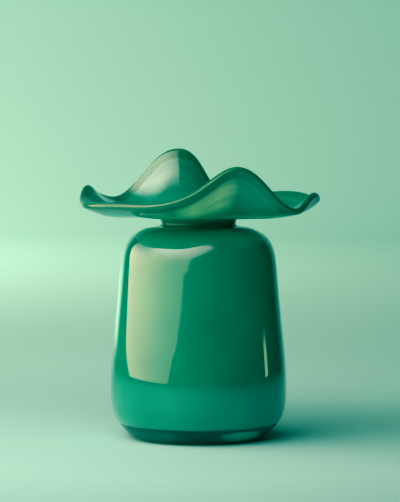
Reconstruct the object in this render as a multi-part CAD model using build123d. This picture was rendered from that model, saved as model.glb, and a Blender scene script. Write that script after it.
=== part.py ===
from build123d import *
import math
import os

import numpy as np

# Glass bud vase: hand-blown cased glass with a squat body, a pinched neck and a wide ruffled rim.
# Frame: millimetres, +Z up, +X to the right, the front faces -Y.  The origin is on the vase's
# axis, in the plane that the foot stands on.

# ---- driving dimensions --------------------------------------------------------------------
CASING_WALL = 2.0            # clear green overlay, measured square to the wall
CORE_WALL = 2.0              # dense emerald inner gather
BASE_THICKNESS = 8.5         # heavy clear base under the core
FOOT_RADIUS = 31.5           # outer edge of the ground foot
FOOT_INNER_RADIUS = 26.0     # where the underside starts to hollow
FOOT_EDGE_SLOPE = 24.0       # degrees above the floor at which the heel leaves the foot
PONTIL_RADIUS = 14.0         # polished hollow where the pontil was ground away
PONTIL_EDGE_HEIGHT = 1.2
PONTIL_DEPTH = 2.8
HEEL = [(38.7, 5.5), (43.2, 12.6)]       # radius, height of the full, rounded heel
CORE_FLOOR_RADIUS = 33.0                 # flat bottom of the dense core
CORE_HEEL = (40.6, 14.0)                 # radius, height of the core's rounded heel
CAVITY_FLOOR_RADIUS = 30.0
CAVITY_HEEL = (38.4, 15.6)

# Outside of the body from the widest belly up to the waist of the neck:
# radius, height, and the direction of the outward normal in degrees above horizontal.
BODY_WALL = [
    (45.0, 24.0, 0.0),
    (43.1, 54.0, 3.0),
    (40.0, 85.0, 8.0),
    (34.6, 102.5, 51.0),
    (28.0, 106.6, 79.0),
    (21.6, 108.0, 64.0),
    (19.0, 109.2, 0.0),
]
NECK_RADIUS = BODY_WALL[-1][0]
NECK_HEIGHT = BODY_WALL[-1][1]

# Lip of the ruffle: azimuth (0 right, 90 back, 180 left, 270 front), reach from the axis,
# height, and how steeply the sheet stands at the lip, in degrees above horizontal.
LIP = [
    (4.0, 60.3, 121.0, 45.0),
    (24.0, 59.2, 122.0, 40.0),      # low back-right wave
    (44.0, 57.4, 122.3, 40.0),
    (63.0, 55.6, 120.0, 40.0),
    (75.5, 54.4, 120.5, 50.0),
    (84.0, 53.0, 127.5, 60.0),
    (91.0, 52.2, 138.3, 66.0),
    (102.5, 50.6, 144.3, 68.0),     # crest of the tall back petal
    (112.0, 52.4, 140.9, 65.0),
    (122.0, 55.6, 130.4, 57.0),
    (132.0, 58.6, 121.0, 38.0),
    (146.0, 59.8, 120.8, 33.0),     # back-left trough
    (155.5, 59.0, 123.4, 42.0),
    (166.0, 58.3, 126.5, 50.0),     # left tip
    (179.0, 58.5, 123.5, 50.0),
    (198.0, 59.5, 119.4, 30.0),
    (226.0, 59.0, 119.8, 25.0),     # long low front-left stretch
    (254.0, 56.5, 120.8, 35.0),
    (270.0, 52.8, 127.0, 55.0),
    (291.0, 50.2, 137.6, 68.0),     # crest of the front wave
    (304.0, 52.6, 132.5, 62.0),
    (314.0, 55.4, 122.5, 40.0),
    (324.0, 57.8, 116.9, 18.0),     # front-right trough
    (337.5, 57.6, 119.8, 32.0),
    (350.0, 58.8, 123.6, 55.0),     # right tip
]
TURN_RADIUS = 3.8            # throat curve from the upright neck out into the ruffle
TURN_SHARE = 0.12            # share of the sheet's length spent on that curve
SHEET_LIFT = 6.5             # degrees above horizontal as the sheet leaves the throat
THROAT_PULL = 0.45           # how far the sheet keeps its direction at either end
LIP_PULL = 0.40
SHEET_END = 0.93             # share of the sheet's length at which the lip bead takes over
NECK_HALF_WALL = 2.0
THROAT_HALF_WALL = 1.5
SHEET_HALF_WALL = 1.3
BEAD_RADIUS = 1.7
RING_POINTS = 72             # points that each closed ring of the ruffle passes through
SHEET_STATIONS = [0.0, 0.06, 0.12, 0.22, 0.36, 0.5, 0.64, 0.78, SHEET_END]
BEAD_STATION = 0.97
BEAD_ANGLES = [-60.0, -30.0, 0.0, 30.0, 60.0]


# ---- body ----------------------------------------------------------------------------------
def wall_points(inset):
    """Points of the body wall from belly to waist, moved inwards by inset."""
    points = []
    for radius, height, angle in BODY_WALL:
        normal = math.radians(angle)
        points.append((radius - inset * math.cos(normal), height - inset * math.sin(normal)))
    return points


def wall_curve(inset):
    """Smooth belly-to-waist outline, upright at both ends."""
    return Spline(*wall_points(inset), tangents=[(0, 1), (0, 1)])


def heel_curve(foot_radius, foot_height, knee_points, inset, slope):
    """Rounded outline from a flat bottom up to the belly of a wall with the given inset."""
    lean = math.radians(slope)
    belly = wall_points(inset)[0]
    return Spline(
        (foot_radius, foot_height),
        *knee_points,
        belly,
        tangents=[(math.cos(lean), math.sin(lean)), (0, 1)],
    )


def outside_heel():
    return heel_curve(FOOT_RADIUS, 0.0, HEEL, 0.0, FOOT_EDGE_SLOPE)


def core_heel():
    return heel_curve(CORE_FLOOR_RADIUS, BASE_THICKNESS, [CORE_HEEL], CASING_WALL, 0.0)


def cavity_heel():
    floor = BASE_THICKNESS + CORE_WALL
    return heel_curve(CAVITY_FLOOR_RADIUS, floor, [CAVITY_HEEL], CASING_WALL + CORE_WALL, 0.0)


def revolved(outline):
    """Solid of revolution about Z from a closed outline drawn as (radius, height)."""
    return revolve(Plane.XZ * make_face(outline), Axis.Z)


def glass_below(height):
    """Half space, large enough for the vase, under a level plane."""
    side = 4 * BODY_WALL[0][0]
    return Pos(0, 0, height - side / 2) * Box(side, side, side)


def whole_casing():
    """Clear glass outside the core, from the foot up to the waist."""
    inner_top = wall_points(CASING_WALL)[-1]
    foot_hollow = ThreePointArc(
        (FOOT_INNER_RADIUS, 0.0),
        ((FOOT_INNER_RADIUS + PONTIL_RADIUS) / 2, 0.8 * PONTIL_EDGE_HEIGHT),
        (PONTIL_RADIUS, PONTIL_EDGE_HEIGHT),
    )
    lens_middle = PONTIL_EDGE_HEIGHT + 0.72 * (PONTIL_DEPTH - PONTIL_EDGE_HEIGHT)
    pontil_lens = ThreePointArc(
        (PONTIL_RADIUS, PONTIL_EDGE_HEIGHT),
        (PONTIL_RADIUS / 2, lens_middle),
        (0.0, PONTIL_DEPTH),
    )
    outline = [
        outside_heel(),
        wall_curve(0.0),
        Line((NECK_RADIUS, NECK_HEIGHT), inner_top),
        wall_curve(CASING_WALL),
        core_heel(),
        Line((CORE_FLOOR_RADIUS, BASE_THICKNESS), (0.0, BASE_THICKNESS)),
        Line((0.0, BASE_THICKNESS), (0.0, PONTIL_DEPTH)),
        pontil_lens,
        foot_hollow,
        Line((FOOT_INNER_RADIUS, 0.0), (FOOT_RADIUS, 0.0)),
    ]
    return revolved(outline)


def clear_base():
    """Heavy clear base with its ground foot and polished pontil hollow."""
    return whole_casing() & glass_below(BASE_THICKNESS)


def body_casing():
    """Clear green overlay around the core, from the base up to the waist."""
    return whole_casing() - glass_below(BASE_THICKNESS)


def body_core():
    """Dense emerald gather that lines the cavity, open at the neck."""
    floor = BASE_THICKNESS + CORE_WALL
    outline = [
        Line((0.0, BASE_THICKNESS), (CORE_FLOOR_RADIUS, BASE_THICKNESS)),
        core_heel(),
        wall_curve(CASING_WALL),
        Line(wall_points(CASING_WALL)[-1], wall_points(CASING_WALL + CORE_WALL)[-1]),
        wall_curve(CASING_WALL + CORE_WALL),
        cavity_heel(),
        Line((CAVITY_FLOOR_RADIUS, floor), (0.0, floor)),
        Line((0.0, floor), (0.0, BASE_THICKNESS)),
    ]
    return revolved(outline)


# ---- ruffle --------------------------------------------------------------------------------
class ClosedCurve:
    """Smooth curve of a value against azimuth that joins up after a full turn."""

    def __init__(self, azimuths, values):
        self.azimuths = np.array(azimuths)
        self.values = np.array(values)
        following = np.roll(self.azimuths, -1)
        following[-1] += 360.0
        self.steps = following - self.azimuths
        self.bends = self.solve_bends()

    def solve_bends(self):
        """Second derivatives of the periodic cubic spline at its points."""
        count = len(self.azimuths)
        before = np.roll(self.steps, 1)
        rise = (np.roll(self.values, -1) - self.values) / self.steps
        matrix = np.diag(2 * (before + self.steps))
        for here in range(count):
            matrix[here, here - 1] += before[here]
            matrix[here, (here + 1) % count] += self.steps[here]
        return np.linalg.solve(matrix, 6 * (rise - np.roll(rise, 1)))

    def at(self, azimuth):
        turned = (azimuth - self.azimuths[0]) % 360.0 + self.azimuths[0]
        here = int(np.searchsorted(self.azimuths, turned, side="right")) - 1
        after = (here + 1) % len(self.azimuths)
        step = self.steps[here]
        ahead = turned - self.azimuths[here]
        left = step - ahead
        cubic = (self.bends[here] * left**3 + self.bends[after] * ahead**3) / (6 * step)
        start = (self.values[here] / step - self.bends[here] * step / 6) * left
        end = (self.values[after] / step - self.bends[after] * step / 6) * ahead
        return float(cubic + start + end)


LIP_AZIMUTHS, LIP_REACHES, LIP_HEIGHTS, LIP_LEANS = zip(*LIP)
LIP_REACH = ClosedCurve(LIP_AZIMUTHS, LIP_REACHES)
LIP_HEIGHT = ClosedCurve(LIP_AZIMUTHS, LIP_HEIGHTS)
LIP_LEAN = ClosedCurve(LIP_AZIMUTHS, LIP_LEANS)
MID_RADIUS = NECK_RADIUS - NECK_HALF_WALL


def sheet_point(azimuth, share):
    """Middle of the ruffle's sheet: share is 0 at the waist and 1 at the lip."""
    sweep = math.radians(90.0 - SHEET_LIFT)
    if share < TURN_SHARE:
        angle = sweep * share / TURN_SHARE
        radius = MID_RADIUS + TURN_RADIUS * (1 - math.cos(angle))
        height = NECK_HEIGHT + TURN_RADIUS * math.sin(angle)
    else:
        start = np.array([
            MID_RADIUS + TURN_RADIUS * (1 - math.cos(sweep)),
            NECK_HEIGHT + TURN_RADIUS * math.sin(sweep),
        ])
        end = np.array([LIP_REACH.at(azimuth), LIP_HEIGHT.at(azimuth)])
        span = float(np.linalg.norm(end - start))
        lift = math.radians(SHEET_LIFT)
        lean = math.radians(LIP_LEAN.at(azimuth))
        after_start = start + THROAT_PULL * span * np.array([math.cos(lift), math.sin(lift)])
        before_end = end - LIP_PULL * span * np.array([math.cos(lean), math.sin(lean)])
        along = (share - TURN_SHARE) / (1 - TURN_SHARE)
        back = 1 - along
        radius, height = (
            back**3 * start
            + 3 * back**2 * along * after_start
            + 3 * back * along**2 * before_end
            + along**3 * end
        )
    turn = math.radians(azimuth)
    return Vector(radius * math.cos(turn), radius * math.sin(turn), height)


def sheet_run(azimuth, share):
    """Unit direction along the sheet, away from the neck."""
    step = 0.002
    low = max(share - step, 0.0)
    high = min(share + step, 1.0)
    return (sheet_point(azimuth, high) - sheet_point(azimuth, low)).normalized()


def sheet_normal(azimuth, share):
    """Unit normal of the sheet on its upper side, which is inwards at the waist."""
    turn = math.radians(azimuth)
    if share == 0.0:
        return Vector(-math.cos(turn), -math.sin(turn), 0)
    step = 0.2
    around = sheet_point(azimuth + step, share) - sheet_point(azimuth - step, share)
    return sheet_run(azimuth, share).cross(around).normalized()


def half_wall(share):
    """Half the sheet's thickness at a share of its length."""
    shares = [0.0, TURN_SHARE, 0.4, 0.86, 1.0]
    walls = [NECK_HALF_WALL, THROAT_HALF_WALL, SHEET_HALF_WALL, SHEET_HALF_WALL, BEAD_RADIUS]
    return float(np.interp(share, shares, walls))


def ring(place):
    """Closed wire through place(azimuth) at even steps round the axis."""
    points = [place(360.0 * number / RING_POINTS) for number in range(RING_POINTS)]
    return Wire([Edge.make_spline(points, periodic=True)])


def sheet_ring(share, side):
    """Ring at a share of the sheet: side is -1 underneath, 0 in the middle and 1 on top."""
    offset = side * half_wall(share)

    def place(azimuth):
        if side == 0:
            return sheet_point(azimuth, share)
        return sheet_point(azimuth, share) + sheet_normal(azimuth, share) * offset

    return ring(place)


def bead_ring(angle):
    """Ring on the lip's round nose: angle is -90 underneath and 90 on top."""
    turn = math.radians(angle)

    def place(azimuth):
        outwards = sheet_run(azimuth, 1.0) * math.cos(turn)
        upwards = sheet_normal(azimuth, 1.0) * math.sin(turn)
        return sheet_point(azimuth, 1.0) + (outwards + upwards) * BEAD_RADIUS

    return ring(place)


def solid_of(shells):
    """Closed solid sewn from the shells that bound it."""
    faces = [face for shell in shells for face in shell.faces()]
    return Solid(Shell(Face.sew_faces(faces)[0]))


def ruffle_pieces():
    """The ruffle's clear underside, its dense upper layer and the lip bead around both."""
    rings = {side: [sheet_ring(share, side) for share in SHEET_STATIONS] for side in (-1, 0, 1)}
    under, middle, top = (Shell.make_loft(rings[side]) for side in (-1, 0, 1))
    under_end = Shell.make_loft([rings[-1][-1], rings[0][-1]], ruled=True)
    top_end = Shell.make_loft([rings[0][-1], rings[1][-1]], ruled=True)
    under_start = Face(rings[-1][0], [rings[0][0]])
    top_start = Face(rings[0][0], [rings[1][0]])
    nose_rings = [rings[-1][-1], sheet_ring(BEAD_STATION, -1)]
    nose_rings += [bead_ring(angle) for angle in BEAD_ANGLES]
    nose_rings += [sheet_ring(BEAD_STATION, 1), rings[1][-1]]
    nose = Shell.make_loft(nose_rings)
    return {
        "rim_casing": solid_of([under, under_end, middle, under_start]),
        "rim_core": solid_of([middle, top_end, top, top_start]),
        "lip_bead": solid_of([under_end, top_end, nose]),
    }


# ---- nodes ---------------------------------------------------------------------------------
def main():
    os.makedirs("parts", exist_ok=True)
    pieces = {
        "clear_base": clear_base(),
        "body_casing": body_casing(),
        "body_core": body_core(),
    }
    pieces.update(ruffle_pieces())
    for name, piece in pieces.items():
        export_step(piece, f"parts/{name}.step")
        size = piece.bounding_box().size
        print(f"{name}: {piece.volume / 1000:.2f} cm3, {size.X:.1f} x {size.Y:.1f} x {size.Z:.1f}")


if __name__ == "__main__":
    main()
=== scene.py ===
import math

import bpy
import numpy as np
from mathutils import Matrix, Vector


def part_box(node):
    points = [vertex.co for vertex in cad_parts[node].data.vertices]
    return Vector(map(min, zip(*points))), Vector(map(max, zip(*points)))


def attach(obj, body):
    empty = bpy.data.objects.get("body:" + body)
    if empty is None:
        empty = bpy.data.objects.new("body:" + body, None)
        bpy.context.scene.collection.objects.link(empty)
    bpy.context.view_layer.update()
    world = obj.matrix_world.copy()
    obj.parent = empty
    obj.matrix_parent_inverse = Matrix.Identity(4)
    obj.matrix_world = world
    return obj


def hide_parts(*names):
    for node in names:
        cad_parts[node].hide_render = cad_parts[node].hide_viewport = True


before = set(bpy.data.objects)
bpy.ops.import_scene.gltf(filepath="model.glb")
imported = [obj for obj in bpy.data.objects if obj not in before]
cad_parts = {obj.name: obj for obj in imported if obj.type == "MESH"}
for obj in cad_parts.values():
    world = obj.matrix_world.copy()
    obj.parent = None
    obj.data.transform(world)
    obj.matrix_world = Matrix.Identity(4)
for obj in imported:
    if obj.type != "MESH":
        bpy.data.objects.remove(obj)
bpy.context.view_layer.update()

bl_info = {
    "name": "Ruffled bud vase",
    "version": (1, 0, 0),
    "blender": (4, 5, 0),
    "location": "3D View > Sidebar > Bud Vase",
    "description": "Builds a hand-blown, cased-glass bud vase with a ruffled rim on its stage",
    "category": "Add Mesh",
}

MM = 0.001
BODY = "root"

# ---- shape of the blown body, in millimetres -----------------------------------------------
BASE_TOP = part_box("clear_base")[1].z / MM
WAIST_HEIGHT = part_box("body_casing")[1].z / MM
BELLY_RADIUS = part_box("body_casing")[1].x / MM
CASING_WALL = BELLY_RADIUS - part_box("body_core")[1].x / MM
FOOT_RADIUS = 31.5
FOOT_INNER_RADIUS = 26.0
FOOT_EDGE_SLOPE = 24.0
PONTIL_RADIUS = 14.0
PONTIL_EDGE_HEIGHT = 1.2
PONTIL_DEPTH = 2.8
HEEL = [(38.7, 5.5), (43.2, 12.6)]
CORE_FLOOR_RADIUS = 33.0
CORE_HEEL = (40.6, 14.0)
CAVITY_FLOOR_RADIUS = 30.0
CAVITY_HEEL = (38.4, 15.6)
BODY_WALL = [
    (BELLY_RADIUS, 24.0, 0.0),
    (43.1, 54.0, 3.0),
    (40.0, 85.0, 8.0),
    (34.6, 102.5, 51.0),
    (28.0, 106.6, 79.0),
    (21.6, 108.0, 64.0),
    (19.0, WAIST_HEIGHT, 0.0),
]
NECK_RADIUS = BODY_WALL[-1][0]
SINK = 0.3                   # how far dense glass reaches into clear glass, so no air lies between
CREASE = 0.28                # softened edge on each side of the tooled line round the waist
CREASE_TURN = [(0.0, 1.2), (0.3, 0.4), (1.0, 0.0)]
POLE_RING = 4.0              # radius of the last ring before the axis on a flat face
FOOT_EASE = 0.5              # how far inside its outer edge the foot's flat ends
BASE_OVERHANG = 1.0          # ring under the casing that lies on the clear base

# ---- shape of the ruffle -------------------------------------------------------------------
# Lip: azimuth (0 right, 90 back, 180 left, 270 front), reach, height, lean above horizontal.
LIP = [
    (4.0, 60.3, 121.0, 45.0),
    (24.0, 59.2, 122.0, 40.0),      # low back-right wave
    (44.0, 57.4, 122.3, 40.0),
    (63.0, 55.6, 120.0, 40.0),
    (75.5, 54.4, 120.5, 50.0),
    (84.0, 53.0, 127.5, 60.0),
    (91.0, 52.2, 138.3, 66.0),
    (102.5, 50.6, 144.3, 68.0),     # crest of the tall back petal
    (112.0, 52.4, 140.9, 65.0),
    (122.0, 55.6, 130.4, 57.0),
    (132.0, 58.6, 121.0, 38.0),
    (146.0, 59.8, 120.8, 33.0),     # back-left trough
    (155.5, 59.0, 123.4, 42.0),
    (166.0, 58.3, 126.5, 50.0),     # left tip
    (179.0, 58.5, 123.5, 50.0),
    (198.0, 59.5, 119.4, 30.0),
    (226.0, 59.0, 119.8, 25.0),     # long low front-left stretch
    (254.0, 56.5, 120.8, 35.0),
    (270.0, 52.8, 127.0, 55.0),
    (291.0, 50.2, 137.6, 68.0),     # crest of the front wave
    (304.0, 52.6, 132.5, 62.0),
    (314.0, 55.4, 122.5, 40.0),
    (324.0, 57.8, 116.9, 18.0),     # front-right trough
    (337.5, 57.6, 119.8, 32.0),
    (350.0, 58.8, 123.6, 55.0),     # right tip
]
TURN_RADIUS = 3.8
TURN_SHARE = 0.12
SHEET_LIFT = 6.5
THROAT_PULL = 0.45
LIP_PULL = 0.40
SHEET_END = 0.93
NECK_HALF_WALL = 2.0
THROAT_HALF_WALL = 1.5
SHEET_HALF_WALL = 1.3
BEAD_RADIUS = 1.7
TONGUE_RADIUS = 1.28         # the dense sheet's round edge, inside the lip bead

# ---- glass ---------------------------------------------------------------------------------
LEAD_GLASS_IOR = 1.6
PAINTED_GLOW_AZIMUTH = 275.0         # where the front wave's left side is painted paler, a painted glow for light through the sheet
# Painted glow: the neck band below is painted a lighter green, in place of light coming through the
# glass there.
NECK_GLOW_BAND = [(110.25, 0.0), (111.75, 1.0), (113.25, 1.0), (115.5, 0.0)]   # heights at the neck
NECK_GLOW_SCALE = 150.0      # a ramp holds places from 0 to 1, so heights are shares of this
BASE_DENSITY = 9.0
LIP_DENSITY = 60.0
LIP_CLEARNESS = 0.85
LIP_FILM = (0.35, 0.72, 0.46)

# ---- stage, in metres; azimuths run to the left of the camera and elevations up from level --
CAMERA_OFFSET = 0.00076      # how far to the right of the vase's axis the camera stands
LIGHT_DISTANCE = 0.55        # from the vase to the glowing sheets
SHEET_COLUMNS = 40
LOW_LIGHT = np.array([0.98, 0.74, 0.50])
HIGH_LIGHT = np.array([1.05, 0.92, 0.78])
SOFT_BOX_LEAN = 0.004        # how much further off the soft box is for each degree up
SOFT_BOX_TOP = 74.0
SOFT_BOX_ROWS = [*np.linspace(-5.2, 12.0, 22), *np.linspace(13.5, SOFT_BOX_TOP, 30)]
SOFT_BOX_TOP_FADE = 8.0
SOFT_BOX_LEFT_FADE = 4.0
SOFT_BOX_LEFT = [(-5.0, 100.0), (3.0, 121.0), (17.0, 128.0)]
SOFT_BOX_RIGHT = [
    (-5.0, 38.0), (3.0, 32.0), (6.5, 24.0), (9.0, 12.0), (20.0, 6.0), (34.0, -20.0), (46.0, -36.0),
]
SOFT_BOX_RIGHT_FADE = [(5.0, 1.5), (15.0, 8.0), (40.0, 18.0)]
SOFT_BOX_UPPER_START = 12.0
SOFT_BOX_UPPER_FULL = 34.0
LOW_BRIGHTNESS_RISE = (20.0, 95.0)    # azimuths of the low part's half and full brightness
HIGH_BRIGHTNESS_ACROSS = [
    (-10.0, 0.5), (20.0, 0.8), (45.0, 1.0), (70.0, 0.96), (90.0, 0.45), (128.0, 0.1),
]
BRIGHTNESS_UP = [
    (-5.0, 0.85), (0.0, 0.80), (6.0, 0.92), (12.0, 1.0), (28.0, 1.05), (40.0, 1.25), (51.0, 1.45),
    (60.0, 0.8), (70.0, 0.05),
]
EDGE_CARD_SIDES = (-94.0, -100.0)
EDGE_CARD_TOP = 2.2
EDGE_CARD_ROWS = np.linspace(-5.0, EDGE_CARD_TOP, 8)
EDGE_CARD_FADE = 1.5
EDGE_CARD_STRENGTH = 2.0
EDGE_LIGHT = np.array([0.9, 1.0, 0.5])
LAMP_PLACE = Vector((-1.2, 1.0, 1.0))
LAMP_AIM = Vector((-0.47, 1.63, 0.0))
LAMP_SIZE = 0.4
LAMP_SPREAD = 140.0
LAMP_COLOUR = (1.0, 0.86, 0.64)
FLAG_SIDE = -0.62
FLAG_DEPTH = (0.2, 0.57)
FLAG_HEIGHT = (0.3, 1.1)
FLOOR_RINGS = (0.2, 0.5, 1.0, 1.6)
COVE_START = 1.8
COVE_RADIUS = 0.7
WALL_TOP = 2.6
SWEEP_SIDES = 96
WORLD_COLOUR = (0.02, 0.06, 0.045, 1.0)
WORLD_STRENGTH = 0.5
RED_TONES = [(0.06, 0.0), (0.12, 0.015), (0.22, 0.11), (0.33, 0.28), (0.5, 0.48)]


# ---- settings ------------------------------------------------------------------------------
class VaseShape(bpy.types.PropertyGroup):
    """Sizes of the hand-made irregularities and of the meshes."""

    body_wobble: bpy.props.FloatProperty(
        name="Body wobble",
        description="How far the blown wall strays from a true circle",
        default=0.25 * MM,
        subtype="DISTANCE",
    )
    body_sides: bpy.props.IntProperty(
        name="Body sides",
        description="Steps round the body",
        default=192,
    )
    ruffle_sides: bpy.props.IntProperty(
        name="Ruffle sides",
        description="Steps round the ruffle",
        default=360,
    )
    ruffle_rows: bpy.props.IntProperty(
        name="Ruffle rows",
        description="Steps along the ruffle from the waist to the lip bead",
        default=56,
    )


class VaseColours(bpy.types.PropertyGroup):
    """Colours of the glass."""

    emerald: bpy.props.FloatVectorProperty(
        name="Emerald",
        description="Dense green glass seen through its clear casing",
        default=(0.03, 0.27, 0.165),
        subtype="COLOR",
    )
    deep_emerald: bpy.props.FloatVectorProperty(
        name="Deep emerald",
        description="Where the dense glass lies thicker",
        default=(0.01, 0.21, 0.135),
        subtype="COLOR",
    )
    # Painted glow: this lighter green is painted in a band at the neck, in place of light coming
    # through the glass.
    neck_glow_emerald: bpy.props.FloatVectorProperty(
        name="Thin emerald",
        description="Where the dense glass is thin enough for light to come through",
        default=(0.03, 0.60, 0.38),
        subtype="COLOR",
    )
    # Also painted as a glow on the ruffle's underside, in place of light shining through the sheet.
    milky_streak_and_glow: bpy.props.FloatVectorProperty(
        name="Milky streak",
        description="Paler glass drawn out in the ruffle",
        default=(0.80, 0.95, 0.50),
        subtype="COLOR",
    )
    base_glass: bpy.props.FloatVectorProperty(
        name="Base glass",
        description="What the clear base lets through",
        default=(0.0, 0.76, 0.52),
        subtype="COLOR",
    )
    lip_glass: bpy.props.FloatVectorProperty(
        name="Lip glass",
        description="What the lip bead lets through",
        default=(0.50, 0.90, 0.68),
        subtype="COLOR",
    )


class StageSettings(bpy.types.PropertyGroup):
    """Stage, lights and camera."""

    paper: bpy.props.FloatVectorProperty(
        name="Paper",
        description="Pale seamless floor and backdrop",
        default=(0.43, 0.77, 0.73),
        subtype="COLOR",
    )
    drape: bpy.props.FloatVectorProperty(
        name="Drape",
        description="Dark cloth round the rest of the studio",
        default=(0.0, 0.06, 0.035),
        subtype="COLOR",
    )
    soft_box_strength: bpy.props.FloatProperty(
        name="Soft box",
        description="Brightness of the large soft box on the left",
        default=3.45,
    )
    backdrop_power: bpy.props.FloatProperty(
        name="Backdrop light",
        description="Power of the light on the backdrop",
        default=24.5,
        unit="POWER",
    )
    camera_distance: bpy.props.FloatProperty(
        name="Camera distance",
        description="How far the camera stands in front of the vase's axis",
        default=1.369,
        subtype="DISTANCE",
    )
    camera_height: bpy.props.FloatProperty(
        name="Camera height",
        description="Height of the camera above the floor",
        default=0.1803,
        subtype="DISTANCE",
    )
    camera_tilt: bpy.props.FloatProperty(
        name="Camera tilt",
        description="How far the camera looks down",
        default=math.radians(3.56),
        subtype="ANGLE",
    )
    camera_lens: bpy.props.FloatProperty(
        name="Camera lens",
        description="Focal length",
        default=193.6,
        unit="CAMERA",
    )


# ---- smooth curves -------------------------------------------------------------------------
def cubic(knots, values, bends, where):
    """Cubic spline with the given values and second derivatives at its knots."""
    last = len(knots) - 2
    here = np.clip(np.searchsorted(knots, where, side="right") - 1, 0, last)
    step = knots[here + 1] - knots[here]
    ahead = where - knots[here]
    left = step - ahead
    shape = (1,) * (values.ndim - 1)
    step, ahead, left = (part.reshape(part.shape + shape) for part in (step, ahead, left))
    curve = (bends[here] * left**3 + bends[here + 1] * ahead**3) / (6 * step)
    start = (values[here] / step - bends[here] * step / 6) * left
    end = (values[here + 1] / step - bends[here + 1] * step / 6) * ahead
    return curve + start + end


def smooth_line(points, leaving, arriving, count):
    """Evenly spread points on a smooth curve through the given ones, with set end directions."""
    values = np.array(points, float)
    gaps = np.linalg.norm(np.diff(values, axis=0), axis=1)
    knots = np.concatenate([[0.0], np.cumsum(gaps)])
    slopes = np.diff(values, axis=0) / gaps[:, None]
    size = len(values)
    matrix = np.zeros((size, size))
    wanted = np.zeros((size, 2))
    matrix[0, :2] = (2 * gaps[0], gaps[0])
    wanted[0] = 6 * (slopes[0] - np.array(leaving))
    matrix[-1, -2:] = (gaps[-1], 2 * gaps[-1])
    wanted[-1] = 6 * (np.array(arriving) - slopes[-1])
    for here in range(1, size - 1):
        before = gaps[here - 1]
        after = gaps[here]
        matrix[here, here - 1:here + 2] = (before, 2 * (before + after), after)
        wanted[here] = 6 * (slopes[here] - slopes[here - 1])
    bends = np.linalg.solve(matrix, wanted)
    return cubic(knots, values, bends, np.linspace(0.0, knots[-1], count))


def closed_curve(angles, values):
    """Function that follows values smoothly round a full turn of angles in degrees."""
    knots = np.append(angles, angles[0] + 360.0)
    values = np.array(values, float)
    steps = np.diff(knots)
    before = np.roll(steps, 1)
    rise = (np.roll(values, -1) - values) / steps
    count = len(values)
    matrix = np.diag(2 * (before + steps))
    for here in range(count):
        matrix[here, here - 1] += before[here]
        matrix[here, (here + 1) % count] += steps[here]
    bends = np.linalg.solve(matrix, 6 * (rise - np.roll(rise, 1)))
    values = np.append(values, values[0])
    bends = np.append(bends, bends[0])
    return lambda azimuth: cubic(knots, values, bends, (azimuth - knots[0]) % 360.0 + knots[0])


# ---- meshes --------------------------------------------------------------------------------
def skin(rings, start_pole=None, end_pole=None):
    """Points and faces of a closed surface through equal rings.

    Without poles the last ring joins the first; with poles each end closes on its point.
    """
    sides = len(rings[0])
    points = [tuple(point) for ring in rings for point in ring]
    faces = []
    pairs = list(zip(range(len(rings) - 1), range(1, len(rings))))
    if start_pole is None:
        pairs.append((len(rings) - 1, 0))
    for low, high in pairs:
        for side in range(sides):
            after = (side + 1) % sides
            near, far = low * sides, high * sides
            faces.append((near + side, near + after, far + after, far + side))
    if start_pole is not None:
        last = (len(rings) - 1) * sides
        points += [tuple(start_pole), tuple(end_pole)]
        for side in range(sides):
            after = (side + 1) % sides
            faces.append((len(points) - 2, after, side))
            faces.append((len(points) - 1, last + side, last + after))
    return points, faces


def add_piece(name, surface, finish, nodes, sharp_angle=50.0, values=None):
    """Makes a closed, smooth-shaded mesh that stands for CAD nodes, and lets it ride."""
    points, faces = surface
    mesh = bpy.data.meshes.new(name)
    mesh.from_pydata([Vector(point) * MM for point in points], [], faces)
    if mesh.validate():
        raise RuntimeError(f"{name} has faulty faces")
    inside_out = sum(
        mesh.vertices[face.vertices[0]].co.dot(face.normal) * face.area for face in mesh.polygons
    )
    if inside_out < 0:
        mesh.flip_normals()
    mesh.shade_smooth()
    mesh.set_sharp_from_angle(angle=math.radians(sharp_angle))
    for label, numbers in (values or {}).items():
        layer = mesh.attributes.new(label, "FLOAT", "POINT")
        layer.data.foreach_set("value", np.asarray(numbers, np.float32).ravel())
    mesh.materials.append(finish)
    piece = bpy.data.objects.new(name, mesh)
    bpy.context.scene.collection.objects.link(piece)
    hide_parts(*nodes)
    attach(piece, BODY)
    return piece


# ---- body ----------------------------------------------------------------------------------
def wall_stations(inset):
    """Belly-to-waist stations of a wall, moved inwards by inset."""
    stations = []
    for radius, height, angle in BODY_WALL:
        normal = math.radians(angle)
        stations.append((radius - inset * math.cos(normal), height - inset * math.sin(normal)))
    return stations


def wall_line(inset, count=110):
    return smooth_line(wall_stations(inset), (0, 1), (0, 1), count)


def heel_line(start, knees, inset, slope, count=40):
    """Rounded outline from a flat bottom up to the belly."""
    lean = math.radians(slope)
    points = [start, *knees, wall_stations(inset)[0]]
    return smooth_line(points, (math.cos(lean), math.sin(lean)), (0, 1), count)


def outside_line():
    """Outline of the whole outside, from the foot up to the waist."""
    lean = math.radians(FOOT_EDGE_SLOPE)
    points = [(FOOT_RADIUS, 0.0), *HEEL, *wall_stations(0.0)]
    return smooth_line(points, (math.cos(lean), math.sin(lean)), (0, 1), 150)


def split_at_base(line):
    """The outline's parts below and above the top of the clear base."""
    above = int(np.argmax(line[:, 1] > BASE_TOP))
    share = (BASE_TOP - line[above - 1, 1]) / (line[above, 1] - line[above - 1, 1])
    joint = line[above - 1] + share * (line[above] - line[above - 1])
    return np.vstack([line[:above], joint]), np.vstack([joint, line[above:]])


def crease(line):
    """Softens the end of an outline that rises to the waist."""
    end = line[-1]
    kept = line[line[:, 1] < end[1] - 1.5 * CREASE]
    turn = [end - (part * CREASE, rise * CREASE) for part, rise in CREASE_TURN]
    return np.vstack([kept, turn])


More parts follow.
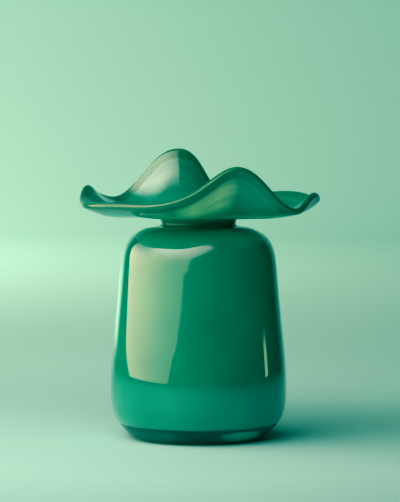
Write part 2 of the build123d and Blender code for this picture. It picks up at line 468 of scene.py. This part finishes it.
def spin(outline, sides, wobble):
    """Rings round the axis through an outline of (radius, height), slightly out of true."""
    turns = np.linspace(0.0, 2 * math.pi, sides, endpoint=False)
    rings = []
    for radius, height in outline:
        rise = (height - BASE_TOP) / (WAIST_HEIGHT - BASE_TOP)
        calm = max(0.0, math.sin(math.pi * min(max(rise, 0.0), 1.0)))
        oval = 0.3 * np.cos(2 * turns + 2.4 * rise)
        lobes = 0.2 * np.cos(3 * turns - 3.1 * rise + 1.0)
        stray = 0.5 + oval + lobes
        reach = radius - wobble / MM * calm * stray
        rings.append(np.column_stack([
            reach * np.cos(turns), reach * np.sin(turns), np.full(sides, height)
        ]))
    return rings


# ---- ruffle --------------------------------------------------------------------------------
LIP_AZIMUTHS, LIP_REACHES, LIP_HEIGHTS, LIP_LEANS = (np.array(part) for part in zip(*LIP))
lip_reach = closed_curve(LIP_AZIMUTHS, LIP_REACHES)
lip_height = closed_curve(LIP_AZIMUTHS, LIP_HEIGHTS)
lip_lean = closed_curve(LIP_AZIMUTHS, LIP_LEANS)
MID_RADIUS = NECK_RADIUS - NECK_HALF_WALL


def sheet(share, azimuths):
    """Middle of the ruffle's sheet all the way round: share is 0 at the waist, 1 at the lip."""
    sweep = math.radians(90.0 - SHEET_LIFT)
    lift = math.radians(SHEET_LIFT)
    turns = np.radians(azimuths)
    if share < TURN_SHARE:
        angle = sweep * share / TURN_SHARE
        radius = np.full(len(turns), MID_RADIUS + TURN_RADIUS * (1 - math.cos(angle)))
        height = np.full(len(turns), WAIST_HEIGHT + TURN_RADIUS * math.sin(angle))
    else:
        start = np.array([
            MID_RADIUS + TURN_RADIUS * (1 - math.cos(sweep)),
            WAIST_HEIGHT + TURN_RADIUS * math.sin(sweep),
        ])
        end = np.column_stack([lip_reach(azimuths), lip_height(azimuths)])
        span = np.linalg.norm(end - start, axis=1)[:, None]
        lean = np.radians(lip_lean(azimuths))
        after_start = start + THROAT_PULL * span * np.array([math.cos(lift), math.sin(lift)])
        before_end = end - LIP_PULL * span * np.column_stack([np.cos(lean), np.sin(lean)])
        along = (share - TURN_SHARE) / (1 - TURN_SHARE)
        back = 1 - along
        middle = (
            back**3 * start
            + 3 * back**2 * along * after_start
            + 3 * back * along**2 * before_end
            + along**3 * end
        )
        radius, height = middle[:, 0], middle[:, 1]
    return np.column_stack([radius * np.cos(turns), radius * np.sin(turns), height])


def unit(vectors):
    return vectors / np.linalg.norm(vectors, axis=1)[:, None]


def sheet_run(share, azimuths):
    """Unit directions along the sheet, away from the neck."""
    step = 0.002
    return unit(sheet(min(share + step, 1.0), azimuths) - sheet(max(share - step, 0.0), azimuths))


def sheet_normal(share, azimuths):
    """Unit normals of the sheet's upper side."""
    if share == 0.0:
        turns = np.radians(azimuths)
        return np.column_stack([-np.cos(turns), -np.sin(turns), np.zeros(len(turns))])
    step = 0.2
    around = sheet(share, azimuths + step) - sheet(share, azimuths - step)
    return unit(np.cross(sheet_run(share, azimuths), around))


def half_wall(share):
    """Half the sheet's thickness."""
    shares = [0.0, TURN_SHARE, 0.4, 0.86, 1.0]
    walls = [NECK_HALF_WALL, THROAT_HALF_WALL, SHEET_HALF_WALL, SHEET_HALF_WALL, BEAD_RADIUS]
    return float(np.interp(share, shares, walls))


def sheet_ring(share, side, azimuths):
    """Ring on the sheet: side is -1 underneath, 0 in the middle and 1 on top."""
    offset = side * half_wall(share)
    return sheet(share, azimuths) + offset * sheet_normal(share, azimuths)


def bead_ring(angle, azimuths, radius=BEAD_RADIUS):
    """Ring on the lip's round nose: angle is -90 underneath and 90 on top."""
    turn = math.radians(angle)
    outwards = sheet_run(1.0, azimuths) * math.cos(turn)
    upwards = sheet_normal(1.0, azimuths) * math.sin(turn)
    return sheet(1.0, azimuths) + radius * (outwards + upwards)


# ---- shader building -----------------------------------------------------------------------
class Signal:
    """A number socket that arithmetic can be written with."""

    def __init__(self, finish, socket):
        self.finish = finish
        self.socket = socket

    def combined(self, operation, first, second):
        return self.finish.node("ShaderNodeMath", {"operation": operation}, {0: first, 1: second})

    def __add__(self, other):
        return self.combined("ADD", self, other)

    def __radd__(self, other):
        return self.combined("ADD", other, self)

    def __sub__(self, other):
        return self.combined("SUBTRACT", self, other)

    def __rsub__(self, other):
        return self.combined("SUBTRACT", other, self)

    def __mul__(self, other):
        return self.combined("MULTIPLY", self, other)

    def __rmul__(self, other):
        return self.combined("MULTIPLY", other, self)

    def __truediv__(self, other):
        return self.combined("DIVIDE", self, other)

    def __rtruediv__(self, other):
        return self.combined("DIVIDE", other, self)


class Finish:
    """A material whose nodes are written as expressions."""

    def __init__(self, name):
        self.material = bpy.data.materials.new(name)
        self.material.use_nodes = True
        self.tree = self.material.node_tree
        self.tree.nodes.clear()

    def node(self, kind, settings=None, inputs=None, output=0):
        """Adds a node: its settings first, then values or links for its sockets."""
        made = self.tree.nodes.new(kind)
        for name, value in (settings or {}).items():
            if name == "stops":
                self.set_stops(made.color_ramp, value)
            else:
                setattr(made, name, value)
        for name, value in (inputs or {}).items():
            if isinstance(value, Signal):
                self.tree.links.new(value.socket, made.inputs[name])
            else:
                made.inputs[name].default_value = value
        return Signal(self, made.outputs[output]) if len(made.outputs) else None

    @staticmethod
    def set_stops(ramp, stops):
        while len(ramp.elements) < len(stops):
            ramp.elements.new(1.0)
        for element, (position, shade) in zip(ramp.elements, stops):
            element.position = position
            element.color = (shade, shade, shade, 1.0)

    def place(self):
        return self.node("ShaderNodeTexCoord", output="Object")

    def attribute(self, name, output="Fac"):
        return self.node("ShaderNodeAttribute", {"attribute_name": name}, output=output)

    def vector(self, operation, vector, output="Vector"):
        return self.node("ShaderNodeVectorMath", {"operation": operation}, {0: vector}, output)

    def parts(self, vector):
        """The three numbers of a vector."""
        return [self.node("ShaderNodeSeparateXYZ", None, {0: vector}, axis) for axis in range(3)]

    def join(self, x, y, z):
        return self.node("ShaderNodeCombineXYZ", None, {0: x, 1: y, 2: z})

    def noise(self, where, scale, detail=2.0, roughness=0.5):
        return self.node(
            "ShaderNodeTexNoise",
            None,
            {"Vector": where, "Scale": scale, "Detail": detail, "Roughness": roughness},
        )

    def ramp(self, factor, stops):
        return self.node("ShaderNodeValToRGB", {"stops": stops}, {0: factor})

    def blend(self, factor, first, second):
        """Colour mixed from two colours."""
        first, second = (
            part if isinstance(part, Signal) else (*part, 1.0) for part in (first, second)
        )
        return self.node(
            "ShaderNodeMix",
            {"data_type": "RGBA"},
            {0: factor, 6: first, 7: second},
            output=2,
        )

    def bump(self, height, distance):
        return self.node("ShaderNodeBump", None, {"Height": height, "Distance": distance})

    def surface(self, inputs):
        shader = self.node("ShaderNodeBsdfPrincipled", None, inputs)
        return self.output(shader)

    def output(self, surface, volume=None):
        """Ends the material with its surface, and returns it."""
        links = {"Surface": surface}
        if volume is not None:
            links["Volume"] = volume
        self.node("ShaderNodeOutputMaterial", None, links)
        return self.material


# ---- glass ---------------------------------------------------------------------------------
def dense_glass(name, colours, streaked=False, painted_glow_at=None, coat=1.0):
    """Dense emerald glass under a fire-polished skin, with the drift that blowing leaves in it.

    streaked glass needs the mesh's share attribute; the azimuth argument places a painted glow,
    paler glass painted where light would shine through the sheet. The neck band is painted a
    lighter green in place of light coming through.
    """
    glass = Finish(name)
    place = glass.place()
    x, y, z = glass.parts(place)
    drift = glass.noise(glass.join(x, y, 0.6 * z), 22.0, 3.0, 0.55)
    thickness = glass.ramp(drift, [(0.35, 0.0), (0.65, 1.0)])
    if streaked:
        share = glass.attribute("share")
        around = glass.vector("NORMALIZE", glass.join(x, y, 0.0))
        around_x, around_y, _ = glass.parts(around)
        drawn = glass.noise(glass.join(1.3 * around_x, 1.3 * around_y, 4.5 * share), 2.2)
        thickness = 0.4 * thickness + 0.6 * glass.ramp(drawn, [(0.38, 0.0), (0.62, 1.0)])
    colour = glass.blend(thickness, colours.emerald, colours.deep_emerald)
    # Painted glow: a band at the neck is painted the lighter green, in place of light coming
    # through.
    band = [(height / NECK_GLOW_SCALE, shade) for height, shade in NECK_GLOW_BAND]
    neck = glass.ramp(z / (NECK_GLOW_SCALE * MM), band)
    colour = glass.blend(neck, colour, colours.neck_glow_emerald)
    if streaked:
        pulled = glass.noise(glass.join(around_x, around_y, 8.0 * share), 1.1)
        wisps = glass.ramp(pulled, [(0.46, 0.0), (0.66, 1.0)])
        outwards = glass.ramp(share, [(0.25, 0.0), (0.6, 1.0)])
        milkiness = 0.03 if painted_glow_at is None else 0.1
        milk_and_glow = milkiness * (wisps * outwards)
        # Painted glow: the front wave's left side is painted paler underneath, in place of light
        # shining through the sheet.
        if painted_glow_at is not None:
            turn = math.radians(painted_glow_at)
            facing = math.cos(turn) * around_x + math.sin(turn) * around_y
            glow_side = glass.ramp(facing, [(0.94, 0.0), (0.99, 1.0)])
            glow_reach = glass.ramp(share, [(0.3, 0.0), (0.6, 1.0), (0.85, 1.0), (0.94, 0.2)])
            milk_and_glow = milk_and_glow + glow_side * glow_reach * (0.5 + 0.7 * pulled)
        colour = glass.blend(milk_and_glow, colour, colours.milky_streak_and_glow)
    smudges = glass.noise(place, 60.0)
    swell = glass.noise(glass.join(x, y, 0.5 * z), 26.0, 1.0)
    return glass.surface({
        "Base Color": colour,
        "Roughness": 0.03 + 0.03 * smudges,
        "IOR": LEAD_GLASS_IOR,
        "Coat Weight": coat,
        "Coat Roughness": 0.03,
        "Coat IOR": LEAD_GLASS_IOR,
        "Normal": glass.bump(swell, 0.12 * MM),
    })


def clear_glass(name, tint, density, film=(1.0, 1.0, 1.0), clearness=1.0):
    """Clear tinted glass, fire-polished and cloudy where clearness is under 1.

    film colours the cloudiness and the light that goes through.
    """
    glass = Finish(name)
    place = glass.place()
    swell = glass.noise(place, 40.0, 1.0)
    shader = glass.node("ShaderNodeBsdfPrincipled", None, {
        "Base Color": (*film, 1.0),
        "Roughness": 0.01,
        "IOR": LEAD_GLASS_IOR,
        "Transmission Weight": clearness,
        "Normal": glass.bump(swell, 0.15 * MM),
    })
    absorption = glass.node(
        "ShaderNodeVolumeAbsorption",
        None,
        {"Color": (*tint, 1.0), "Density": density},
    )
    return glass.output(shader, absorption)


# ---- operators -----------------------------------------------------------------------------
class VASE_OT_clear_base(bpy.types.Operator):
    """Adds the heavy clear base with its ground foot and polished pontil hollow"""

    bl_idname = "vase.clear_base"
    bl_label = "Clear base"

    def execute(self, context):
        shape = context.scene.vase_shape
        colours = context.scene.vase_colours
        below, _ = split_at_base(outside_line())
        hollow = []
        for share in np.linspace(0.0, 1.0, 14)[1:]:
            radius = FOOT_INNER_RADIUS + share * (PONTIL_RADIUS - FOOT_INNER_RADIUS)
            hollow.append((radius, PONTIL_EDGE_HEIGHT * math.sin(share * math.pi / 2)))
        lens = []
        for share in np.linspace(0.0, 1.0, 18)[1:-1]:
            rise = 1 - (1 - share) ** 2
            height = PONTIL_EDGE_HEIGHT + rise * (PONTIL_DEPTH - PONTIL_EDGE_HEIGHT)
            lens.append((PONTIL_RADIUS * (1 - share), height))
        foot = [(FOOT_INNER_RADIUS, 0.0), (FOOT_RADIUS - FOOT_EASE, 0.0)]
        top = [(radius, BASE_TOP) for radius in np.linspace(below[-1][0], POLE_RING, 10)[1:]]
        outline = [*lens[::-1], *hollow[::-1], *foot, *below, *top]
        rings = spin(outline, shape.body_sides, 0.0)
        surface = skin(rings, (0.0, 0.0, PONTIL_DEPTH), (0.0, 0.0, BASE_TOP))
        finish = clear_glass("clear base glass", colours.base_glass, BASE_DENSITY)
        add_piece("clear_base_glass", surface, finish, ["clear_base"], 25.0)
        return {"FINISHED"}


class VASE_OT_body_casing(bpy.types.Operator):
    """Adds the casing round the body, from the base up to the waist"""

    bl_idname = "vase.body_casing"
    bl_label = "Body casing"

    def execute(self, context):
        shape = context.scene.vase_shape
        colours = context.scene.vase_colours
        _, outside = split_at_base(outside_line())
        core_heel = heel_line((CORE_FLOOR_RADIUS, BASE_TOP), [CORE_HEEL], CASING_WALL, 0.0)
        inside = np.vstack([core_heel[:-1], wall_line(CASING_WALL)])[::-1]
        seat = BASE_TOP - SINK
        underside = [(CORE_FLOOR_RADIUS, seat), (outside[0][0] - BASE_OVERHANG, seat)]
        outline = np.vstack([crease(outside), inside, underside])
        rings = spin(outline, shape.body_sides, shape.body_wobble)
        finish = dense_glass("cased emerald glass", colours)
        add_piece("body_casing_glass", skin(rings), finish, ["body_casing"])
        return {"FINISHED"}


class VASE_OT_body_core(bpy.types.Operator):
    """Adds the dense emerald gather that lines the cavity"""

    bl_idname = "vase.body_core"
    bl_label = "Body core"

    def execute(self, context):
        shape = context.scene.vase_shape
        colours = context.scene.vase_colours
        wall = 2 * NECK_HALF_WALL - CASING_WALL
        floor = BASE_TOP + wall
        seat = BASE_TOP - SINK
        bottom = [(radius, seat) for radius in np.linspace(POLE_RING, CORE_FLOOR_RADIUS, 9)]
        core_heel = heel_line((CORE_FLOOR_RADIUS, BASE_TOP), [CORE_HEEL], CASING_WALL, 0.0)
        outside = np.vstack([core_heel[:-1], wall_line(CASING_WALL)])
        cavity_start = (CAVITY_FLOOR_RADIUS, floor)
        cavity_heel = heel_line(cavity_start, [CAVITY_HEEL], CASING_WALL + wall, 0.0)
        inside = np.vstack([cavity_heel[:-1], wall_line(CASING_WALL + wall)])[::-1]
        bed = [(radius, floor) for radius in np.linspace(CAVITY_FLOOR_RADIUS, POLE_RING, 8)[1:]]
        outline = np.vstack([bottom, outside, inside, bed])
        rings = spin(outline, shape.body_sides, shape.body_wobble)
        surface = skin(rings, (0.0, 0.0, seat), (0.0, 0.0, floor))
        finish = dense_glass("dense emerald glass", colours)
        add_piece("body_core_glass", surface, finish, ["body_core"])
        return {"FINISHED"}


class VASE_OT_ruffle(bpy.types.Operator):
    """Adds the ruffle's two layers: its cased underside and its dense upper side"""

    bl_idname = "vase.ruffle"
    bl_label = "Ruffle"

    def layer(self, side, azimuths, rows):
        """Rings out along one face of the sheet, round its edge and back along its middle."""
        shares = np.linspace(0.0, 1.0, rows) ** 1.1 * SHEET_END
        face = [sheet_ring(share, side, azimuths) for share in shares]
        tongue_shares = np.linspace(SHEET_END, 1.0, 6)[1:-1]
        for share in tongue_shares:
            thickness = np.interp(share, [SHEET_END, 1.0], [half_wall(SHEET_END), TONGUE_RADIUS])
            face.append(sheet(share, azimuths) + side * thickness * sheet_normal(share, azimuths))
        angles = np.linspace(90.0, 0.0, 7)
        edge = [bead_ring(side * angle, azimuths, TONGUE_RADIUS) for angle in angles]
        back_shares = [1.0, *tongue_shares[::-1], *shares[::-1]]
        middle = [sheet_ring(share, 0, azimuths) for share in back_shares]
        marks = [*shares, *tongue_shares, *[1.0] * len(edge), *back_shares]
        return [*face, *edge, *middle], np.repeat(marks, len(azimuths))

    def execute(self, context):
        shape = context.scene.vase_shape
        colours = context.scene.vase_colours
        azimuths = np.linspace(0.0, 360.0, shape.ruffle_sides, endpoint=False)
        layers = [
            # The casing's azimuth places its painted glow, paler glass painted where light shines
            # through.
            ("rim_casing", -1, "clear_green_glass", PAINTED_GLOW_AZIMUTH, 0.0),
            ("rim_core", 1, "dense_green_glass", None, 1.0),
        ]
        for node, side, slot, painted_glow_at, coat in layers:
            rings, shares = self.layer(side, azimuths, shape.ruffle_rows)
            finish = dense_glass(f"{node} glass", colours, True, painted_glow_at, coat)
            add_piece(f"{node}_glass", skin(rings), finish, [node], values={"share": shares})
        return {"FINISHED"}


class VASE_OT_lip_bead(bpy.types.Operator):
    """Adds the thick, fire-polished bead round the lip"""

    bl_idname = "vase.lip_bead"
    bl_label = "Lip bead"

    def execute(self, context):
        shape = context.scene.vase_shape
        colours = context.scene.vase_colours
        azimuths = np.linspace(0.0, 360.0, shape.ruffle_sides, endpoint=False)
        shares = np.linspace(SHEET_END, 1.0, 7)[:-1]
        under = [sheet_ring(share, -1, azimuths) for share in shares]
        nose = [bead_ring(angle, azimuths) for angle in np.linspace(-90.0, 90.0, 17)]
        top = [sheet_ring(share, 1, azimuths) for share in shares[::-1]]
        root = [sheet_ring(SHEET_END, side, azimuths) for side in (0.5, 0.0, -0.5)]
        tint = colours.lip_glass
        finish = clear_glass("lip glass", tint, LIP_DENSITY, LIP_FILM, LIP_CLEARNESS)
        rings = [*under, *nose, *top, *root]
        add_piece("lip_bead_glass", skin(rings), finish, ["lip_bead"])
        return {"FINISHED"}


# ---- stage ---------------------------------------------------------------------------------
def from_vase(azimuth, elevation, distance, height=0.06):
    """Place seen from the vase: azimuth to the left of the camera, elevation above level."""
    turn = math.radians(azimuth)
    rise = math.radians(elevation)
    level = distance * math.cos(rise)
    return Vector((
        -level * math.sin(turn),
        -level * math.cos(turn),
        height + distance * math.sin(rise),
    ))


def soft_edge(where, start, full):
    """Brightness that rises smoothly from 0 at start to 1 at full."""
    rise = np.clip((where - start) / (full - start), 0.0, 1.0)
    return rise * rise * (3 - 2 * rise)


def read_table(table, where):
    """Value at a place in a table of places and values."""
    places, values = zip(*table)
    return np.interp(where, places, values)


def soft_box_sides(elevation):
    """Azimuths of the soft box's left and right sides."""
    return read_table(SOFT_BOX_LEFT, elevation), read_table(SOFT_BOX_RIGHT, elevation)


def soft_box_glow(azimuth, elevation):
    """Colour of the soft box at a place, faded towards its edges."""
    left, right = soft_box_sides(elevation)
    upper = soft_edge(elevation, SOFT_BOX_UPPER_START, SOFT_BOX_UPPER_FULL)
    low_across = 0.5 + 0.5 * soft_edge(azimuth, *LOW_BRIGHTNESS_RISE)
    across = low_across * (1 - upper) + read_table(HIGH_BRIGHTNESS_ACROSS, azimuth) * upper
    feather = read_table(SOFT_BOX_RIGHT_FADE, elevation)
    right_edge = soft_edge(azimuth, right, right + feather)
    left_edge = soft_edge(left - azimuth, 0.0, SOFT_BOX_LEFT_FADE)
    top_edge = soft_edge(SOFT_BOX_TOP - elevation, 0.0, SOFT_BOX_TOP_FADE)
    edges = right_edge * left_edge * top_edge
    brightness = across * read_table(BRIGHTNESS_UP, elevation) * edges
    return brightness * (LOW_LIGHT + upper * (HIGH_LIGHT - LOW_LIGHT))


def edge_card_sides(elevation):
    """Azimuths of the edge card's sides, the same all the way up."""
    return EDGE_CARD_SIDES


def edge_card_glow(azimuth, elevation):
    """Colour of the edge card, which fades at its top."""
    return soft_edge(EDGE_CARD_TOP - elevation, 0.0, EDGE_CARD_FADE) * EDGE_LIGHT


def add_light_sheet(name, azimuths, elevations, lean, glow, strength):
    """Curved, glowing sheet round the vase, which the camera doesn't see.

    azimuths gives the sheet's two sides at an elevation, lean how much further off it is for
    each degree up, and glow its colour at a place.
    """
    points = []
    levels = []
    for elevation in elevations:
        distance = LIGHT_DISTANCE + lean * max(elevation, 0.0)
        for azimuth in np.linspace(*azimuths(elevation), SHEET_COLUMNS):
            points.append(from_vase(azimuth, elevation, distance))
            levels.append((*glow(azimuth, elevation), 1.0))
    faces = []
    for row in range(len(elevations) - 1):
        for column in range(SHEET_COLUMNS - 1):
            near = row * SHEET_COLUMNS + column
            far = near + SHEET_COLUMNS
            faces.append((near, near + 1, far + 1, far))
    mesh = bpy.data.meshes.new(name)
    mesh.from_pydata(points, [], faces)
    layer = mesh.attributes.new("glow", "FLOAT_COLOR", "POINT")
    layer.data.foreach_set("color", np.asarray(levels, np.float32).ravel())
    if mesh.polygons[0].normal.dot(mesh.polygons[0].center) > 0:
        mesh.flip_normals()
    mesh.shade_smooth()
    sheet_object = bpy.data.objects.new(name, mesh)
    light = Finish(name)
    shade = light.attribute("glow", output="Color")
    front = light.node("ShaderNodeEmission", None, {"Color": shade, "Strength": strength})
    dark = light.node("ShaderNodeEmission", None, {"Color": (0.0, 0.0, 0.0, 1.0), "Strength": 0.0})
    back = light.node("ShaderNodeNewGeometry", output="Backfacing")
    surface = light.node("ShaderNodeMixShader", None, {0: back, 1: front, 2: dark})
    mesh.materials.append(light.output(surface))
    sheet_object.visible_camera = False
    bpy.context.scene.collection.objects.link(sheet_object)


def paper_finish(paper_colour, drape_colour):
    """Matt seamless paper behind the vase and under it, and a dark drape round the rest."""
    paper = Finish("seamless paper")
    place = paper.place()
    x, y, z = paper.parts(place)
    reach = paper.vector("LENGTH", paper.join(x, y, 0.0), output="Value")
    behind = paper.ramp(y / reach, [(0.70, 0.0), (0.86, 1.0)])
    near = paper.ramp(reach, [(0.15, 1.0), (0.70, 0.0)])
    tooth = paper.noise(place, 900.0, 3.0, 0.6)
    bright = behind + near - behind * near
    return paper.surface({
        "Base Color": paper.blend(bright, drape_colour, paper_colour),
        "Roughness": 0.95,
        "Specular IOR Level": 0.1,
        "Normal": paper.bump(tooth, 0.08 * MM),
    })


class VASE_OT_stage(bpy.types.Operator):
    """Adds the paper sweep, the lights, the flag, the camera, the world and the print tones"""

    bl_idname = "vase.stage"
    bl_label = "Stage"

    def sweep(self, settings):
        """Round floor that curves up into a wall all the way round."""
        outline = [(radius, 0.0) for radius in FLOOR_RINGS]
        for angle in np.linspace(0.0, 90.0, 16):
            turn = math.radians(angle)
            reach = COVE_START + COVE_RADIUS * math.sin(turn)
            outline.append((reach, COVE_RADIUS * (1 - math.cos(turn))))
        outline.append((COVE_START + COVE_RADIUS, WALL_TOP))
        sides = SWEEP_SIDES
        turns = np.linspace(0.0, 2 * math.pi, sides, endpoint=False)
        points = [(0.0, 0.0, 0.0)]
        faces = []
        for radius, height in outline:
            points += [(radius * math.cos(turn), radius * math.sin(turn), height) for turn in turns]
        for side in range(sides):
            faces.append((0, 1 + side, 1 + (side + 1) % sides))
        for row in range(len(outline) - 1):
            near, far = 1 + row * sides, 1 + (row + 1) * sides
            for side in range(sides):
                after = (side + 1) % sides
                faces.append((near + side, far + side, far + after, near + after))
        mesh = bpy.data.meshes.new("paper_sweep")
        mesh.from_pydata(points, [], faces)
        mesh.shade_smooth()
        mesh.materials.append(paper_finish(settings.paper, settings.drape))
        sweep = bpy.data.objects.new("paper_sweep", mesh)
        bpy.context.scene.collection.objects.link(sweep)

    def soft_box(self, settings):
        """Large sheet on the left that leans over the vase, brightest high up."""
        add_light_sheet(
            "soft_box",
            soft_box_sides,
            SOFT_BOX_ROWS,
            SOFT_BOX_LEAN,
            soft_box_glow,
            settings.soft_box_strength,
        )

    def edge_card(self):
        """Narrow sheet on the right that lights the body's edge."""
        add_light_sheet(
            "edge_card",
            edge_card_sides,
            EDGE_CARD_ROWS,
            0.0,
            edge_card_glow,
            EDGE_CARD_STRENGTH,
        )

    def backdrop_light(self, settings):
        """Lamp behind on the left that lights the backdrop."""
        lamp = bpy.data.lights.new("backdrop_light", "AREA")
        lamp.shape = "RECTANGLE"
        lamp.size = LAMP_SIZE
        lamp.size_y = LAMP_SIZE
        lamp.energy = settings.backdrop_power
        lamp.color = LAMP_COLOUR
        lamp.spread = math.radians(LAMP_SPREAD)
        light = bpy.data.objects.new("backdrop_light", lamp)
        light.location = LAMP_PLACE
        light.rotation_euler = (LAMP_AIM - LAMP_PLACE).to_track_quat("-Z", "Y").to_euler()
        light.visible_camera = False
        bpy.context.scene.collection.objects.link(light)

    def flag(self, settings):
        """Upright dark card that keeps much of the backdrop light off the vase and its shadow."""
        near, far = FLAG_DEPTH
        low, high = FLAG_HEIGHT
        outline = [(near, low), (far, low), (far, high), (near, high)]
        corners = [(FLAG_SIDE, depth, height) for depth, height in outline]
        mesh = bpy.data.meshes.new("flag")
        mesh.from_pydata(corners, [], [(0, 1, 2, 3)])
        cloth = Finish("flag")
        mesh.materials.append(cloth.surface({
            "Base Color": (*settings.drape, 1.0),
            "Roughness": 0.9,
            "Specular IOR Level": 0.1,
        }))
        card = bpy.data.objects.new("flag", mesh)
        card.visible_camera = False
        bpy.context.scene.collection.objects.link(card)

    def camera(self, settings):
        camera = bpy.data.cameras.new("camera")
        camera.lens = settings.camera_lens
        camera.clip_end = 20.0
        view = bpy.data.objects.new("camera", camera)
        view.location = (CAMERA_OFFSET, -settings.camera_distance, settings.camera_height)
        view.rotation_euler = (math.pi / 2 - settings.camera_tilt, 0.0, 0.0)
        bpy.context.scene.collection.objects.link(view)
        bpy.context.scene.camera = view

    def grade(self, view):
        """Green print tones: the darks lose their red."""
        view.view_transform = "Standard"
        view.look = "None"
        view.use_curve_mapping = True
        red = view.curve_mapping.curves[0]
        for level, shown in RED_TONES:
            red.points.new(level, shown)
        view.curve_mapping.update()

    def execute(self, context):
        settings = context.scene.vase_stage
        self.sweep(settings)
        self.soft_box(settings)
        self.edge_card()
        self.backdrop_light(settings)
        self.flag(settings)
        self.camera(settings)
        world = bpy.data.worlds.new("dark studio")
        world.use_nodes = True
        background = world.node_tree.nodes["Background"]
        background.inputs["Color"].default_value = WORLD_COLOUR
        background.inputs["Strength"].default_value = WORLD_STRENGTH
        context.scene.world = world
        self.grade(context.scene.view_settings)
        return {"FINISHED"}


class VASE_PT_panel(bpy.types.Panel):
    """Sidebar panel with the vase's pieces and settings"""

    bl_label = "Bud vase"
    bl_idname = "VASE_PT_panel"
    bl_space_type = "VIEW_3D"
    bl_region_type = "UI"
    bl_category = "Bud Vase"

    def draw(self, context):
        for operator in OPERATORS:
            self.layout.operator(operator.bl_idname)
        for setting in GROUPS:
            group = getattr(context.scene, setting)
            box = self.layout.box()
            for name in group.bl_rna.properties.keys():
                if name not in ("rna_type", "name"):
                    box.prop(group, name)


OPERATORS = [
    VASE_OT_clear_base,
    VASE_OT_body_casing,
    VASE_OT_body_core,
    VASE_OT_ruffle,
    VASE_OT_lip_bead,
    VASE_OT_stage,
]
GROUPS = {"vase_shape": VaseShape, "vase_colours": VaseColours, "vase_stage": StageSettings}


def register():
    for item in [*GROUPS.values(), *OPERATORS, VASE_PT_panel]:
        bpy.utils.register_class(item)
    for name, group in GROUPS.items():
        setattr(bpy.types.Scene, name, bpy.props.PointerProperty(type=group))


def unregister():
    for name in GROUPS:
        delattr(bpy.types.Scene, name)
    for item in reversed([*GROUPS.values(), *OPERATORS, VASE_PT_panel]):
        bpy.utils.unregister_class(item)


def main():
    register()
    bpy.ops.vase.clear_base()
    bpy.ops.vase.body_casing()
    bpy.ops.vase.body_core()
    bpy.ops.vase.ruffle()
    bpy.ops.vase.lip_bead()
    bpy.ops.vase.stage()


if __name__ == "__main__":
    main()
